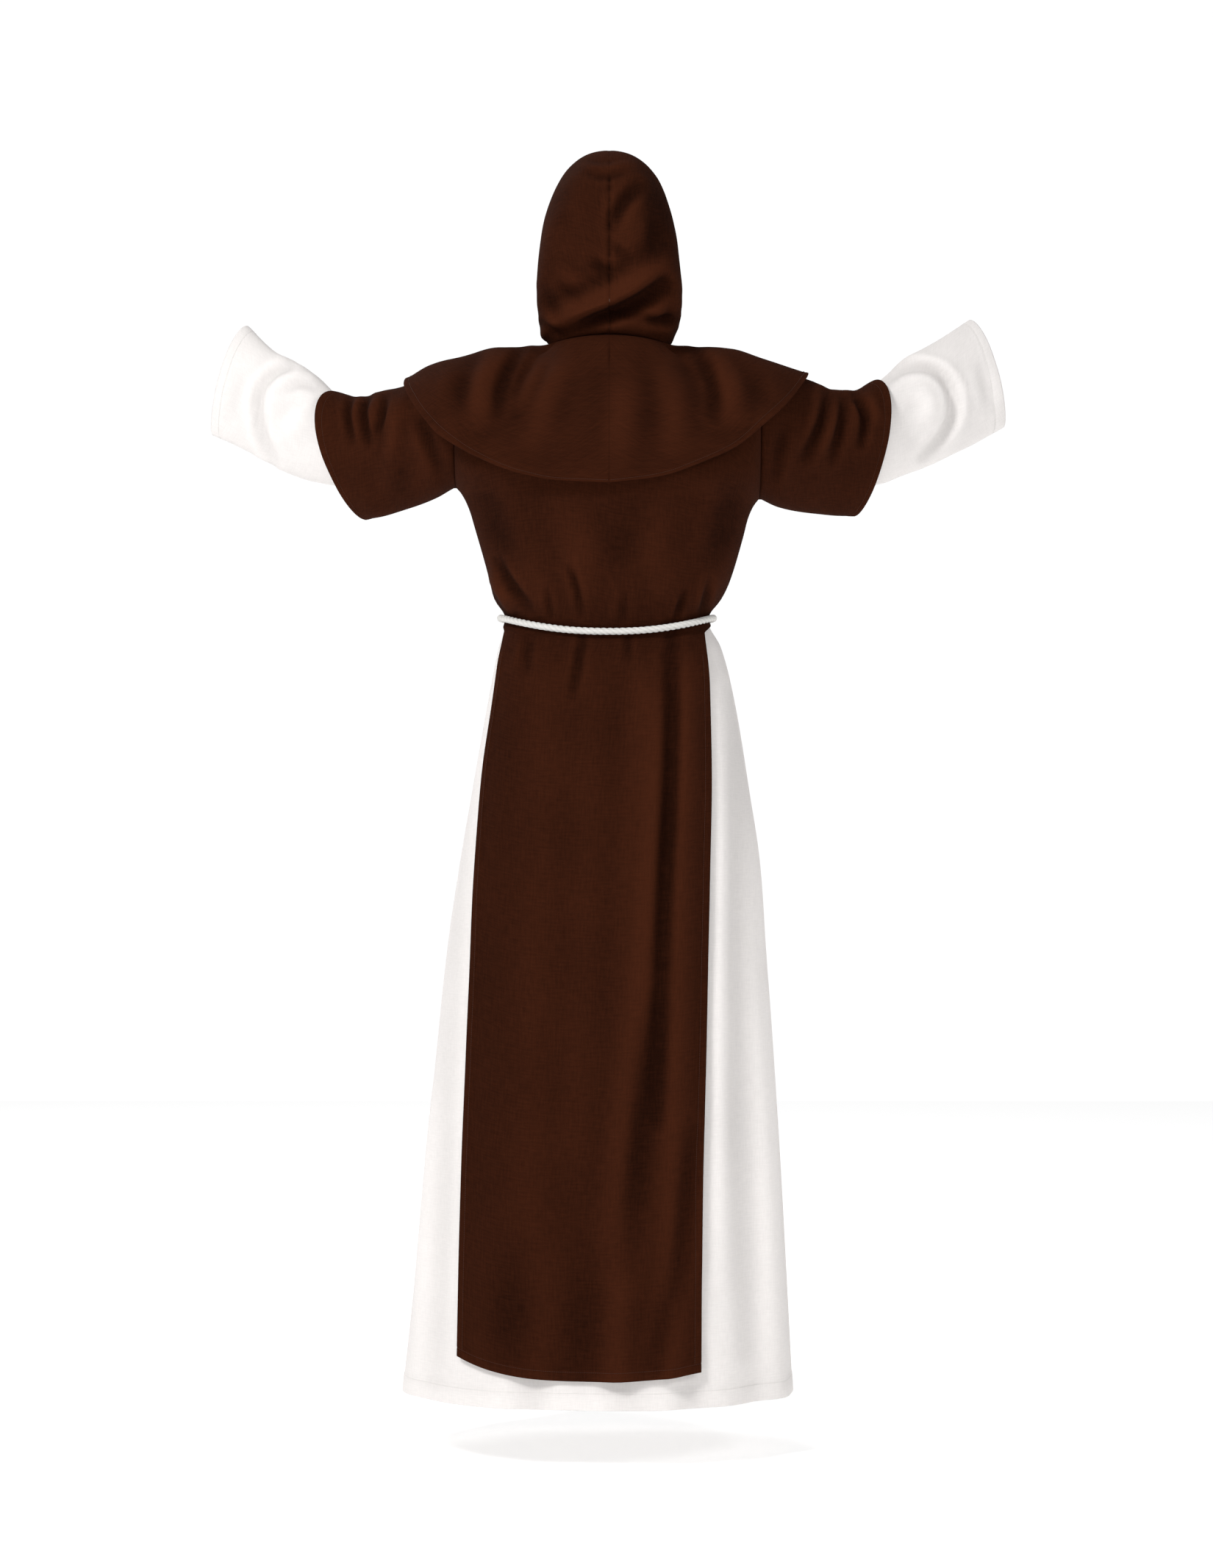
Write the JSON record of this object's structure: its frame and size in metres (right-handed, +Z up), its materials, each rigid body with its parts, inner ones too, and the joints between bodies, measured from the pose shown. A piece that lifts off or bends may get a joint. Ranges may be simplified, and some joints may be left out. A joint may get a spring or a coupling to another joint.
{
  "type": "monk costume",
  "caption": "Hooded shoulder cape over a belted tunic with long front and back panels and a long-sleeved ankle-length robe, worn and hollow.",
  "frame": {"origin": "the neck seat: middle of the neck opening at the height where the shoulders carry the costume", "axes": "+Z up; +Y to the wearer's front; +X to the wearer's right, so the picture looks along +Y at the back"},
  "size_m": [1.1584, 0.4245, 1.7534],
  "materials": {
    "robe_white": "matte white woven cloth",
    "habit_brown": "matte dark brown woven cloth",
    "rope_cotton": "twisted white cotton rope"
  },
  "bodies": {
    "root": {"robe_front": "robe_white", "robe_back": "robe_white", "robe_sleeve_left": "robe_white", "robe_sleeve_right": "robe_white", "tunic_front": "habit_brown", "tunic_back": "habit_brown", "tunic_sleeve_left": "habit_brown", "tunic_sleeve_right": "habit_brown", "cape_left": "habit_brown", "cape_right": "habit_brown", "hood_left": "habit_brown", "hood_right": "habit_brown", "rope_belt": "rope_cotton", "belt_knot": "rope_cotton", "belt_tail_left": "rope_cotton", "belt_tail_right": "rope_cotton", "tail_knot_left": "rope_cotton", "tail_knot_right": "rope_cotton"}
  },
  "joints": []
}
